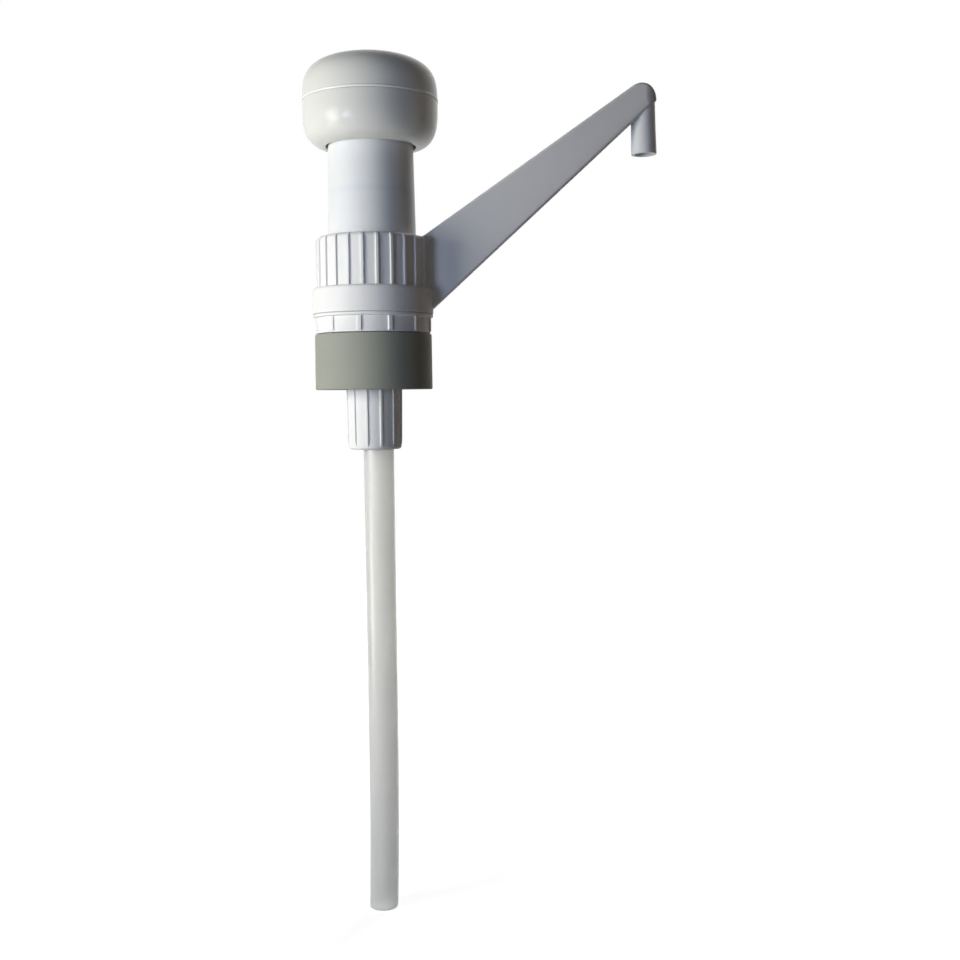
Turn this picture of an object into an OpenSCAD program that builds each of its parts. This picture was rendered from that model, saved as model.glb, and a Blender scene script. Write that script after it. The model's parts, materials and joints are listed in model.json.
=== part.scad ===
// Hand-operated dosing pump that screws onto a canister neck.
// Millimetres. Origin at the centre of the adapter's mouth, Z up along the pump, X towards the spout.

/* [Thread adapter] */
// outer diameter of the adapter at its mouth
adapter_d = 57.5; // [56.5:0.1:60]
// height of the adapter's outer wall
adapter_h = 27; // [26:0.5:30]
// root diameter of the canister thread
neck_thread_d = 51; // [49:0.1:51.6]
// height of a thread ridge
thread_ridge = 1.3; // [0.8:0.1:1.6]
// distance between thread ridges
thread_pitch = 5; // [4.5:0.1:5.5]
// depth from the mouth to the neck gasket
neck_depth = 19; // [17.5:0.5:19.5]
// thickness of the neck gasket
gasket_t = 2.2; // [1.5:0.1:3]

/* [Union ring] */
// outer diameter between the ribs
union_d = 56.2; // [55.4:0.1:58]
// diameter of the lip at the top
union_lip_d = 58.8; // [58.2:0.1:61]
// thickness of the lip
union_lip_t = 1.8; // [1.5:0.1:2.6]
// number of small ribs
union_ribs = 12; // [6:1:24]
// width of a small rib
union_rib_w = 2.2; // [1.4:0.1:3]
// height of a small rib above the ring
union_rib_h = 0.5; // [0.3:0.1:0.8]
// diameter of the thread that joins the ring to the adapter
union_thread_d = 48.8; // [48:0.1:50]

/* [Swivel] */
// height of the adapter's threaded neck inside the ring
swivel_neck_h = 4; // [3.5:0.1:6]
// thickness of the ring seal below the flange
swivel_seal_t = 1.3; // [1:0.1:2]
// thickness of the swivel flange
flange_t = 1.9; // [1.5:0.1:3]
// play above and below the flange
swivel_gap = 0.3; // [0.2:0.05:0.4]
// gap between the ring's lip and the skirt
skirt_gap = 0.9; // [0.6:0.1:1.4]

/* [Spout housing] */
// outer diameter of the smooth skirt
skirt_d = 59.2; // [58:0.1:62]
// height of the skirt
skirt_h = 12.5; // [11.5:0.5:14]
// diameter of the collar between its ribs
collar_d = 52.6; // [51.6:0.1:54]
// height of the collar
collar_h = 24; // [22:0.5:26]
// number of collar ribs
collar_ribs = 24; // [12:1:30]
// width of a collar rib
collar_rib_w = 1.5; // [1:0.1:2.2]
// height of a collar rib
collar_rib_h = 0.6; // [0.3:0.1:1]

/* [Spout arm] */
// distance from the pump's axis to the middle of the arm's end
arm_reach = 134.2; // [115:0.2:150]
// height of the arm's end above the skirt's lower edge
arm_rise = 106.7; // [96:0.2:116]
// thickness of the arm from side to side
arm_t = 14; // [13.6:0.1:16]
// bevel along the arm's edges
arm_bevel = 1.2; // [0.6:0.1:2]
// radius of the arm's end
arm_tip_r = 7; // [6.9:0.1:8]
// radius of the channel in the arm
channel_r = 4.4; // [3.5:0.1:4.6]

/* [Nozzle] */
// outer diameter of the nozzle
nozzle_d = 12.2; // [11.4:0.1:12.6]
// bore of the nozzle
nozzle_bore_d = 9; // [7:0.1:9.4]
// length of the nozzle
nozzle_l = 25.3; // [22:0.1:32]
// lean of the nozzle away from the pump
nozzle_lean = 1.6; // [0:0.1:3]

/* [Sleeve and barrel] */
// diameter of the sleeve at the collar
sleeve_d = 43; // [42.6:0.1:44]
// narrowing of the sleeve's radius for each millimetre of height
sleeve_draft = 0.02; // [0.01:0.001:0.022]
// height of the sleeve above the collar
sleeve_h = 45.4; // [44:0.2:48]
// bore of the pump barrel
pump_bore_d = 33; // [32:0.1:33.2]
// wall of the pump barrel
barrel_wall = 1.8; // [1.6:0.1:1.9]
// thickness of the barrel's lower gasket
barrel_gasket_t = 0.8; // [0.5:0.1:1.2]

/* [Knob] */
// largest diameter of the knob
knob_d = 66.2; // [64:0.2:72]
// height of the upper half
dome_h = 21.7; // [20.5:0.1:26]
// height of the lower half
bowl_h = 21.3; // [20.5:0.1:25]
// wall of the knob
knob_wall = 2.6; // [2:0.1:2.8]
// gap between the sleeve and the knob's mouth
knob_mouth_gap = 0.45; // [0.35:0.05:0.8]
// step between the two halves at the seam
seam_step = 0.25; // [0.1:0.05:0.5]
// travel of the knob
stroke = 35; // [30:0.5:35]

/* [Plunger] */
// diameter of the rod
rod_d = 14; // [12:0.1:15]
// height of the piston
piston_h = 8.5; // [7.5:0.1:9.5]
// wire diameter of the return spring
wire_d = 1.6; // [1.2:0.1:1.8]
// mean diameter of the return spring
spring_d = 24.8; // [23:0.1:25.6]
// turns of the return spring
spring_turns = 8; // [6:0.5:9]

/* [Valves and dip tube] */
// diameter of the suction ball
suction_ball_d = 11; // [10:0.1:12]
// lift of the suction ball
suction_lift = 3; // [2:0.1:4]
// diameter of the outlet ball
outlet_ball_d = 8.4; // [7.6:0.1:9]
// lift of the outlet ball
outlet_lift = 3; // [2:0.1:4]
// diameter of the nut over its ribs at its top
nut_d = 28.4; // [27.8:0.1:29]
// height of the nut
nut_h = 41.6; // [40:0.2:44]
// number of nut ribs
nut_ribs = 12; // [6:1:18]
// width of a nut rib
nut_rib_w = 1.3; // [0.8:0.1:2]
// height of a nut rib
nut_rib_h = 0.6; // [0.3:0.1:0.7]
// outer diameter of the dip tube
tube_d = 15.2; // [14:0.1:15.6]
// wall of the dip tube
tube_wall = 1.4; // [1:0.1:2]
// reach of the dip tube below the adapter's mouth
tube_reach = 262; // [160:1:400]
// distance of the dip tube from the pump's axis
tube_offset = 1.7; // [0:0.1:1.8]

/* [Hidden] */
$fn = 96;

// clearances: slip for pieces that stay together, run for pieces that slide or turn on each other
slip = 0.05;
run = 0.05;
ball_gap = 0.3;
eps = 0.05;

// heights from the adapter's mouth upwards
z_neck_seat = neck_depth + gasket_t;
z_seal = adapter_h + swivel_neck_h;
z_flange = z_seal + swivel_seal_t + swivel_gap;
z_flange_top = z_flange + flange_t;
z_lip = z_flange_top + swivel_gap;
z_union_top = z_lip + union_lip_t;
z_skirt = z_union_top + skirt_gap;
z_collar = z_skirt + skirt_h;
z_collar_top = z_collar + collar_h;
z_floor = z_skirt + 0.5;
z_barrel = z_floor + barrel_gasket_t;
z_hub_top = z_skirt + 6.5;
barrel_seal_t = 1.7;
z_counterbore = z_hub_top + barrel_seal_t + 2 * slip;
z_port = z_skirt + 14.5;
z_o_ring = z_port + 10;
o_ring_r = 0.6;
o_ring_groove = 1.2;
sleeve_seat_h = 8;
z_sleeve_seat = z_collar_top - sleeve_seat_h;
z_sleeve_top = z_collar_top + sleeve_h;
ledge_t = 2;
z_ledge = z_sleeve_top - 7.4;
bush_flange_t = 2;
bush_h = 6;
z_barrel_top = z_ledge - bush_flange_t;
z_bush = z_barrel_top - bush_h;
z_piston_top = z_bush - 0.3;
z_piston = z_piston_top - piston_h;
spring_seat_t = 1.3;
z_spring_seat = z_piston - 0.1 - spring_seat_t;
knob_overlap = 2;
z_rim = z_sleeve_top - knob_overlap;
z_seam = z_rim + bowl_h;
z_knob_top = z_seam + dome_h;
z_boss = z_barrel_top + bush_flange_t + stroke + 1.5;
z_rod_top = z_knob_top - knob_wall - 1.1;
rod_plug_l = 6;
rod_wall = 2.4;

// roundings of edges, and the angle of the first rib of each pattern
edge_r = 0.6;
skirt_round = 2.4;
collar_round = 1;
nut_round = 2;
collar_phase = 4.7;
union_phase = 16.5;
nut_phase = 13.5;
// wall of the skirt and height of the hollow under it
skirt_wall = 2.4;
skirt_hollow_h = 8;

// radii of the pump's inside
barrel_r = pump_bore_d / 2 + barrel_wall;
housing_bore_r = barrel_r + 2 * slip;
hub_wall = 2;
hub_r = barrel_r + hub_wall;
hub_gap = 0.3;
counterbore_r = hub_r + 2 * slip;
sleeve_r = sleeve_d / 2;
sleeve_bore_r = barrel_r + 0.2;
rim_r = sleeve_r + knob_mouth_gap;
knob_r = knob_d / 2;
bowl_r = knob_r - seam_step;
rod_r = rod_d / 2;
boss_r = rod_r + 3.5;
collar_r = collar_d / 2;
skirt_r = skirt_d / 2;
chamber_r = suction_ball_d / 2 + 1.9;
lower_tube_r = 14.2;
adapter_hole_r = lower_tube_r + 0.6;
neck_r = neck_thread_d / 2;
adapter_r = adapter_d / 2;
adapter_draft = 0.15;
union_r = union_d / 2;
union_lip_r = union_lip_d / 2;
male_r = union_thread_d / 2;
flange_r = male_r - 0.8;

// suction valve and dip tube
tube_r = tube_d / 2;
plug_r = 10.1;
plug_bore_r = plug_r + slip;
nut_thread_r = 11.8;
nut_bore_r = nut_thread_r + 2 * slip;
z_shoulder = 12.6;
z_nut_top = z_shoulder - 0.3;
z_nut = z_nut_top - nut_h;
z_valve_end = -13;
holder_gasket_t = 1.2;
holder_flange_t = 2;
z_holder_flange = z_valve_end - holder_gasket_t;
z_nut_seat = z_holder_flange - holder_flange_t - 0.1;
z_plug_top = 8;
z_tube_top = 2;
suction_ball_r = suction_ball_d / 2;
suction_hole_r = suction_ball_r - 1.3;
z_suction_ball = z_plug_top - 2 + sqrt(pow(suction_ball_r + ball_gap, 2) - pow(suction_hole_r, 2));
z_cage = z_suction_ball + suction_ball_r + suction_lift + ball_gap;
nut_mouth_r = tube_r + tube_offset + 0.5;
nut_top_r = nut_d / 2 - nut_rib_h;
nut_low_r = nut_top_r - 0.5;

// spout arm
arm_tip_z = z_skirt + arm_rise;
port_x = housing_bore_r;
arm_angle = atan2(arm_tip_z - z_port, arm_reach - port_x);
arm_l = sqrt(pow(arm_tip_z - z_port, 2) + pow(arm_reach - port_x, 2));
root_r = 4.5;
root_top = [21, z_collar_top - 7.7];
root_low = [26.8, z_skirt + 1.3 + root_r];
valve_bore_r = 5.6;
valve_r = valve_bore_r - slip;
valve_bore_l = 24;
outlet_ball_r = outlet_ball_d / 2;
outlet_hole_r = outlet_ball_r - 1.3;
seat_s = 6;
seat_l = 6;
outlet_ball_s = seat_s + seat_l - 2 + sqrt(pow(outlet_ball_r + ball_gap, 2) - pow(outlet_hole_r, 2));
cage_s = outlet_ball_s + outlet_ball_r + outlet_lift + ball_gap;
nozzle_r = nozzle_d / 2;
nozzle_x = arm_reach + 0.3;
z_nozzle_top = arm_tip_z - 2.9;
nozzle_seat_l = 13;
nozzle_step = 0.4;
nozzle_seat_r = nozzle_r - nozzle_step;
passage_r = nozzle_bore_d / 2 - 0.5;
passage_l = 3;

// colours
ivory = [0.93, 0.90, 0.80];
cool_white = [0.92, 0.93, 0.93];
grey = [0.56, 0.58, 0.50];
milky = [0.90, 0.91, 0.88, 0.7];
natural = [0.86, 0.86, 0.82];
black_rubber = [0.06, 0.06, 0.06];
steel = [0.72, 0.73, 0.75];

// a plain ring around the pump's axis
module ring(r_in, r_out, z_low, z_high) {
    rotate_extrude() translate([r_in, z_low]) square([r_out - r_in, z_high - z_low]);
}

// points on an arc in an outline
function arc_points(middle, r, from, to, steps) =
    [for (i = [0:steps]) let (a = from + (to - from) * i / steps) middle + r * [cos(a), sin(a)]];

// outline of the knob's upper half above the seam and of its lower half below it
function dome_points(r, h) =
    [for (i = [0:12]) [(r - 2.6 * sin(i * 7.5)) * pow(cos(i * 7.5), 0.68), h * pow(sin(i * 7.5), 0.47)]];
function bowl_points(r, h) =
    [for (i = [0:12]) [rim_r + (r - rim_r) * pow(cos(i * 7.5), 0.985), -h * pow(sin(i * 7.5), 0.537)]];
function reversed(points) = [for (i = [len(points) - 1:-1:0]) points[i]];

// upright ribs around the axis; outline is in radius and height
module ribs(count, width, phase, outline) {
    for (i = [0:count - 1])
        rotate([0, 0, phase - 90 + i * 360 / count])
            rotate([90, 0, 0])
                linear_extrude(height = width, center = true) polygon(outline);
}

// places children along the channel in the arm, s millimetres from the barrel's port
module along_channel(s) {
    translate([port_x, 0, z_port]) rotate([0, 90 - arm_angle, 0]) translate([0, 0, s]) children();
}

// places children on the nozzle's axis, at its upper end
module at_nozzle() {
    translate([nozzle_x, 0, z_nozzle_top]) rotate([0, -nozzle_lean, 0]) children();
}

module knob_dome() {
    color(ivory) union() {
        translate([0, 0, z_seam])
            rotate_extrude()
                polygon(concat(dome_points(knob_r, dome_h),
                    reversed(dome_points(knob_r - knob_wall, dome_h - knob_wall))));
        // boss that holds the rod
        difference() {
            translate([0, 0, z_boss]) cylinder(r = boss_r, h = z_knob_top - knob_wall + 0.4 - z_boss);
            translate([0, 0, z_boss - eps]) cylinder(r = rod_r + slip, h = z_rod_top + slip - z_boss);
        }
    }
}

module knob_bowl() {
    color(ivory) union() {
        translate([0, 0, z_seam - slip])
            rotate_extrude()
                polygon(concat(bowl_points(bowl_r, bowl_h),
                    reversed(bowl_points(bowl_r - knob_wall, bowl_h - knob_wall))));
        // upstand that clips into the upper half
        ring(knob_r - knob_wall - 2.2, knob_r - knob_wall - 0.6, z_seam - 5, z_seam + 2.5);
        ring(knob_r - knob_wall - 2.2, bowl_r - knob_wall + 0.6, z_seam - 5, z_seam - 0.5);
    }
}

module plunger_rod() {
    color(natural) difference() {
        union() {
            translate([0, 0, z_piston_top])
                cylinder(r = rod_r, h = z_rod_top - z_piston_top);
            translate([0, 0, z_piston]) cylinder(r = rod_r - 2, h = piston_h + eps);
        }
        // screw hole and hollow core
        translate([0, 0, z_piston - eps]) cylinder(r = 2 + slip, h = piston_h + 4);
        translate([0, 0, z_piston_top + rod_plug_l])
            cylinder(r = rod_r - rod_wall, h = z_knob_top - z_piston_top);
    }
}

module piston() {
    color(natural) difference() {
        translate([0, 0, z_piston]) cylinder(r = pump_bore_d / 2 - 0.35, h = piston_h);
        translate([0, 0, z_piston - eps]) cylinder(r = rod_r - 2 + slip, h = piston_h + 2 * eps);
        ring(pump_bore_d / 2 - 3.3, pump_bore_d / 2, z_piston + 2, z_piston + piston_h - 2.5);
    }
}

module piston_seal() {
    low = z_piston + 2 + slip;
    high = z_piston + piston_h - 2.5 - slip;
    r_in = pump_bore_d / 2 - 3.3 + slip;
    r_out = pump_bore_d / 2 - run;
    // lip seal: the groove opens towards the pumped liquid
    leg = (r_out - r_in) / 4;
    tall = high - low;
    color(black_rubber) rotate_extrude()
        polygon([[r_in, low], [r_in + leg, low], [(r_in + r_out) / 2, low + tall / 2], [r_out - leg, low],
            [r_out, low + tall / 10], [r_out - leg / 3, high], [r_in, high]]);
}

module piston_washer() {
    color(steel) ring(2 + 2 * slip, 8.2, z_piston - 1.2, z_piston);
}

module piston_screw() {
    color(steel) union() {
        translate([0, 0, z_piston - 1.2]) cylinder(r = 2, h = piston_h + 3);
        difference() {
            translate([0, 0, z_piston - 3.7]) cylinder(r1 = 3.4, r2 = 4, h = 2.5);
            translate([0, 0, z_piston - 3.7 - eps]) cylinder(r = 1.5, h = 1.5, $fn = 6);
        }
    }
}

module spring_seat() {
    color(steel) ring(8.8, spring_d / 2 + wire_d / 2 + 1.2, z_spring_seat, z_spring_seat + spring_seat_t);
}

// return spring: a round wire swept along a helix with a closed turn at each end
spring_low = z_floor + wire_d / 2 + eps;
spring_high = z_spring_seat - wire_d / 2 - eps;
closed_pitch = wire_d + 0.2;
open_turns = spring_turns - 2;
open_pitch = (spring_high - spring_low - 2 * closed_pitch) / open_turns;
function spring_z(turn) =
    turn < 1 ? spring_low + turn * closed_pitch :
    turn < spring_turns - 1 ? spring_low + closed_pitch + (turn - 1) * open_pitch :
    spring_high - (spring_turns - turn) * closed_pitch;
spring_steps = 24;
wire_sides = 8;
spring_rows = round(spring_turns * spring_steps);
spring_points = [for (i = [0:spring_rows]) for (j = [0:wire_sides - 1])
    let (turn = i / spring_steps, around = turn * 360, side = j * 360 / wire_sides,
        r = spring_d / 2 + wire_d / 2 * cos(side))
    [r * cos(around), r * sin(around), spring_z(turn) + wire_d / 2 * sin(side)]];
spring_faces = concat(
    [[for (j = [0:wire_sides - 1]) j]],
    [for (i = [0:spring_rows - 1]) for (j = [0:wire_sides - 1]) let (next = (j + 1) % wire_sides)
        [i * wire_sides + j, (i + 1) * wire_sides + j, (i + 1) * wire_sides + next]],
    [for (i = [0:spring_rows - 1]) for (j = [0:wire_sides - 1]) let (next = (j + 1) % wire_sides)
        [i * wire_sides + j, (i + 1) * wire_sides + next, i * wire_sides + next]],
    [[for (j = [wire_sides - 1:-1:0]) spring_rows * wire_sides + j]]);
echo("gap between the spring's closed turns", closed_pitch - wire_d);
echo("spring length pressed", spring_high - spring_low + wire_d - stroke, "solid", spring_turns * wire_d);

module return_spring() {
    color(steel) polyhedron(spring_points, spring_faces);
}

module outer_sleeve() {
    top_r = sleeve_r - sleeve_draft * sleeve_h;
    color(cool_white) union() {
        rotate_extrude()
            polygon(concat([[sleeve_bore_r, z_sleeve_seat], [sleeve_r, z_sleeve_seat],
                [sleeve_r, z_collar_top]],
                arc_points([top_r - edge_r, z_sleeve_top - edge_r], edge_r, 0, 90, 3),
                [[sleeve_bore_r, z_sleeve_top]]));
        ring(sleeve_bore_r - 3.4, sleeve_bore_r + 0.5, z_ledge, z_ledge + ledge_t);
    }
}

module pump_barrel() {
    color(natural) difference() {
        ring(pump_bore_d / 2, barrel_r, z_barrel, z_barrel_top);
        translate([0, 0, z_port]) rotate([0, 90, 0]) cylinder(r = 3.6, h = barrel_r + 2);
        ring(barrel_r - o_ring_groove, barrel_r + o_ring_groove,
            z_o_ring - 1.7 * o_ring_r, z_o_ring + 1.7 * o_ring_r);
    }
}

module guide_bush() {
    color(natural) difference() {
        union() {
            ring(rod_r + run, pump_bore_d / 2 - slip, z_bush, z_barrel_top + eps);
            ring(rod_r + run, barrel_r, z_barrel_top, z_ledge);
        }
        ring(rod_r, rod_r + 2.5, z_bush + 2.5, z_bush + 4.5);
    }
}

module rod_wiper() {
    color(black_rubber) ring(rod_r + run, rod_r + 2.4, z_bush + 2.5 + slip, z_bush + 4.5 - slip);
}

module barrel_gasket() {
    color(black_rubber) ring(pump_bore_d / 2 - 1.5, barrel_r, z_floor, z_barrel);
}

module barrel_seal() {
    color(black_rubber) ring(barrel_r + slip, hub_r, z_hub_top + slip, z_hub_top + slip + barrel_seal_t);
}

module barrel_o_ring() {
    color(black_rubber)
        translate([0, 0, z_o_ring]) rotate_extrude()
            translate([barrel_r + slip - o_ring_r, 0]) circle(r = o_ring_r, $fn = 32);
}

// the arm's outer shape: a long flat-sided bar with bevelled edges that tapers to an end that is round from the
// front and from above
module arm_shape() {
    corners = [[root_top, root_r], [root_low, root_r], [[root_top[0], root_low[1]], root_r],
        [[arm_reach, arm_tip_z], arm_tip_r]];
    intersection() {
        hull() for (corner = corners) for (bevel = [0, arm_bevel])
            translate([corner[0][0], 0, corner[0][1]]) rotate([90, 0, 0])
                cylinder(r = corner[1] - bevel, h = arm_t - 2 * (arm_bevel - bevel), center = true, $fn = 48);
        union() {
            translate([0, -arm_t, z_skirt]) cube([arm_reach, 2 * arm_t, arm_tip_z]);
            translate([arm_reach, 0, z_skirt]) cylinder(r = arm_tip_r + 0.1, h = arm_tip_z);
        }
    }
}

module spout_housing() {
    color(cool_white) difference() {
        union() {
            rotate_extrude()
                polygon(concat([[housing_bore_r, z_skirt], [skirt_r - edge_r, z_skirt],
                    [skirt_r, z_skirt + edge_r]],
                    arc_points([skirt_r - skirt_round, z_collar - skirt_round], skirt_round, 0, 90, 5),
                    [[collar_r, z_collar]],
                    arc_points([collar_r - collar_round, z_collar_top - collar_round],
                        collar_round, 0, 90, 3),
                    [[housing_bore_r, z_collar_top]]));
            ribs(collar_ribs, collar_rib_w, collar_phase, [[collar_r - 1, z_collar - 1],
                [collar_r + collar_rib_h, z_collar - 1], [collar_r + collar_rib_h, z_collar_top - 2],
                [collar_r - 1, z_collar_top - 1.1]]);
            arm_shape();
        }
        // barrel bore, base thread, sleeve seat and the hollow under the skirt
        translate([0, 0, z_skirt - 1]) cylinder(r = housing_bore_r, h = z_collar_top - z_skirt + 2);
        translate([0, 0, z_skirt - 1]) cylinder(r = counterbore_r, h = z_counterbore - z_skirt + 1);
        translate([0, 0, z_sleeve_seat]) cylinder(r = sleeve_r + slip, h = z_sleeve_top - z_sleeve_seat);
        ring(counterbore_r + hub_wall, skirt_r - skirt_wall, z_skirt - 1, z_skirt + skirt_hollow_h);
        // valve bore, channel and the nozzle's socket
        along_channel(-10) cylinder(r = valve_bore_r, h = 10 + valve_bore_l);
        along_channel(valve_bore_l - 1) cylinder(r = channel_r, h = arm_l - valve_bore_l + 1);
        translate([arm_reach, 0, arm_tip_z]) sphere(r = channel_r);
        at_nozzle() translate([0, 0, -nozzle_l]) cylinder(r = nozzle_seat_r + slip, h = nozzle_l + slip);
        at_nozzle() cylinder(r = passage_r, h = passage_l);
    }
}

module nozzle() {
    color(cool_white) at_nozzle() union() {
        ring(nozzle_bore_d / 2, nozzle_r, -nozzle_l, -nozzle_seat_l);
        ring(nozzle_bore_d / 2, nozzle_seat_r, -nozzle_seat_l - eps, 0);
    }
}

module outlet_seat() {
    color(natural) difference() {
        along_channel(seat_s) cylinder(r = valve_r, h = seat_l);
        along_channel(seat_s - 1) cylinder(r = outlet_hole_r, h = seat_l + 2);
        along_channel(outlet_ball_s) sphere(r = outlet_ball_r + ball_gap);
    }
}

module outlet_ball() {
    color(steel) along_channel(outlet_ball_s) sphere(r = outlet_ball_r);
}

module outlet_cage() {
    color(natural) along_channel(cage_s) union() {
        ring(valve_r - 1.4, valve_r, 0, 2);
        translate([-valve_r + 0.7, -0.8, 0]) cube([2 * valve_r - 1.4, 1.6, 2]);
    }
}

module valve_body() {
    color(natural) rotate_extrude()
        polygon([[plug_bore_r, z_valve_end], [nut_thread_r, z_valve_end], [nut_thread_r, z_shoulder],
            [lower_tube_r, z_shoulder], [lower_tube_r, z_flange], [flange_r, z_flange],
            [flange_r, z_flange_top], [hub_r, z_flange_top], [hub_r, z_hub_top],
            [housing_bore_r, z_hub_top], [housing_bore_r, z_floor],
            [chamber_r, z_floor], [chamber_r, z_plug_top + slip], [plug_bore_r, z_plug_top + slip]]);
}

module tube_holder() {
    color(natural) difference() {
        union() {
            translate([0, 0, z_holder_flange - holder_flange_t])
                cylinder(r = plug_r, h = z_plug_top - z_holder_flange + holder_flange_t);
            translate([0, 0, z_holder_flange - holder_flange_t])
                cylinder(r = nut_thread_r - 0.2, h = holder_flange_t);
        }
        // the dip tube's socket is off the axis, the ball's seat is on it
        translate([tube_offset, 0, z_holder_flange - holder_flange_t - 1])
            cylinder(r = tube_r + slip, h = z_tube_top - z_holder_flange + holder_flange_t + 1);
        translate([0, 0, z_tube_top - 1]) cylinder(r = suction_hole_r, h = z_plug_top - z_tube_top + 2);
        translate([0, 0, z_suction_ball]) sphere(r = suction_ball_r + ball_gap);
    }
}

module holder_gasket() {
    color(black_rubber) ring(plug_r + slip, nut_thread_r - 0.1, z_holder_flange, z_valve_end);
}

module suction_ball() {
    color(steel) translate([0, 0, z_suction_ball]) sphere(r = suction_ball_r);
}

module suction_cage() {
    cage_r = chamber_r - slip;
    color(natural) translate([0, 0, z_cage]) union() {
        ring(cage_r - 1.6, cage_r, 0, 2);
        translate([-cage_r + 0.8, -1, 0]) cube([2 * cage_r - 1.6, 2, 2]);
        translate([-1, -cage_r + 0.8, 0]) cube([2, 2 * cage_r - 1.6, 2]);
    }
}

module suction_nut() {
    color(cool_white) union() {
        rotate_extrude()
            polygon(concat([[nut_mouth_r, z_nut]],
                arc_points([nut_low_r - nut_round, z_nut + nut_round], nut_round, -90, 0, 4),
                [[nut_top_r, z_nut_top - 0.5], [nut_top_r - 0.5, z_nut_top], [nut_bore_r, z_nut_top],
                [nut_bore_r, z_nut_seat], [nut_mouth_r, z_nut_seat]]));
        ribs(nut_ribs, nut_rib_w, nut_phase, [[nut_low_r - 1, z_nut + nut_round + 0.6],
            [nut_low_r + nut_rib_h, z_nut + nut_round + 1.4],
            [nut_top_r + nut_rib_h, z_nut_top - 2], [nut_top_r - 1, z_nut_top - 1.2]]);
    }
}

module dip_tube() {
    color(milky) translate([tube_offset, 0, 0])
        ring(tube_r - tube_wall, tube_r, -tube_reach, z_tube_top - slip);
}

module union_ring() {
    color(cool_white) union() {
        rotate_extrude()
            polygon([[male_r + slip, adapter_h], [union_r - 0.4, adapter_h], [union_r, adapter_h + 0.4],
                [union_r, z_union_top - union_lip_t], [union_lip_r - 0.3, z_union_top - union_lip_t + 0.3],
                [union_lip_r, z_union_top - union_lip_t + 0.6], [union_lip_r, z_union_top - 0.4],
                [union_lip_r - 0.4, z_union_top], [hub_r + hub_gap, z_union_top],
                [hub_r + hub_gap, z_lip], [male_r + slip, z_lip]]);
        ribs(union_ribs, union_rib_w, union_phase, [[union_r - 1, adapter_h + 0.7],
            [union_r + union_rib_h, adapter_h + 0.9],
            [union_r + union_rib_h, z_union_top - union_lip_t + 0.2],
            [union_r - 1, z_union_top - union_lip_t + 0.2]]);
    }
}

// canister thread: one ridge swept along a helix on the adapter's wall, fading in and out at its ends
thread_turns = 2.5;
thread_steps = 32;
thread_rows = round(thread_turns * thread_steps);
function ridge_height(turn) = min(thread_ridge, min(turn, thread_turns - turn) * 8 * thread_ridge - 0.2);
thread_points = [for (i = [0:thread_rows]) for (side = [[0.5, -1.3], [-1, -0.4], [-1, 0.4], [0.5, 1.3]])
    let (turn = i / thread_steps, around = turn * 360,
        r = neck_r + (side[0] > 0 ? side[0] : -ridge_height(turn)))
    [r * cos(around), r * sin(around), 2 + turn * thread_pitch + side[1]]];
thread_faces = concat(
    [[0, 1, 2, 3]],
    [for (i = [0:thread_rows - 1]) for (j = [0:3]) let (next = (j + 1) % 4)
        [i * 4 + j, (i + 1) * 4 + j, (i + 1) * 4 + next]],
    [for (i = [0:thread_rows - 1]) for (j = [0:3]) let (next = (j + 1) % 4)
        [i * 4 + j, (i + 1) * 4 + next, i * 4 + next]],
    [[for (j = [3:-1:0]) thread_rows * 4 + j]]);

module thread_adapter() {
    top_r = adapter_r - adapter_draft;
    color(grey) union() {
        rotate_extrude()
            polygon(concat([[neck_r, 0]], arc_points([adapter_r - edge_r, edge_r], edge_r, -90, 0, 3),
                arc_points([top_r - edge_r, adapter_h - edge_r], edge_r, 0, 90, 3),
                [[male_r, adapter_h], [male_r, z_seal], [adapter_hole_r, z_seal],
                [adapter_hole_r, z_neck_seat], [neck_r, z_neck_seat]]));
        polyhedron(thread_points, thread_faces);
    }
}

module cap_gasket() {
    color(black_rubber) ring(adapter_hole_r + 2, neck_r - thread_ridge - 0.2, neck_depth, z_neck_seat);
}

module swivel_seal() {
    color(black_rubber) ring(adapter_hole_r + 1, male_r - 1, z_seal, z_seal + swivel_seal_t);
}

knob_dome();
knob_bowl();
plunger_rod();
piston();
piston_seal();
piston_washer();
piston_screw();
spring_seat();
return_spring();
outer_sleeve();
pump_barrel();
guide_bush();
rod_wiper();
barrel_gasket();
barrel_seal();
barrel_o_ring();
spout_housing();
nozzle();
outlet_seat();
outlet_ball();
outlet_cage();
valve_body();
tube_holder();
holder_gasket();
suction_ball();
suction_cage();
suction_nut();
dip_tube();
union_ring();
thread_adapter();
cap_gasket();
swivel_seal();
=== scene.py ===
"""Looks of a hand dosing pump, laid over its solid parts.

Sizes are written in millimetres and become metres when a mesh is made. Z is up along the pump's axis,
X runs along the spout arm, and the origin is the centre of the adapter's mouth.
"""

import json
import math

import bmesh
import bpy
import numpy as np
from mathutils import Matrix, Vector


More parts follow.
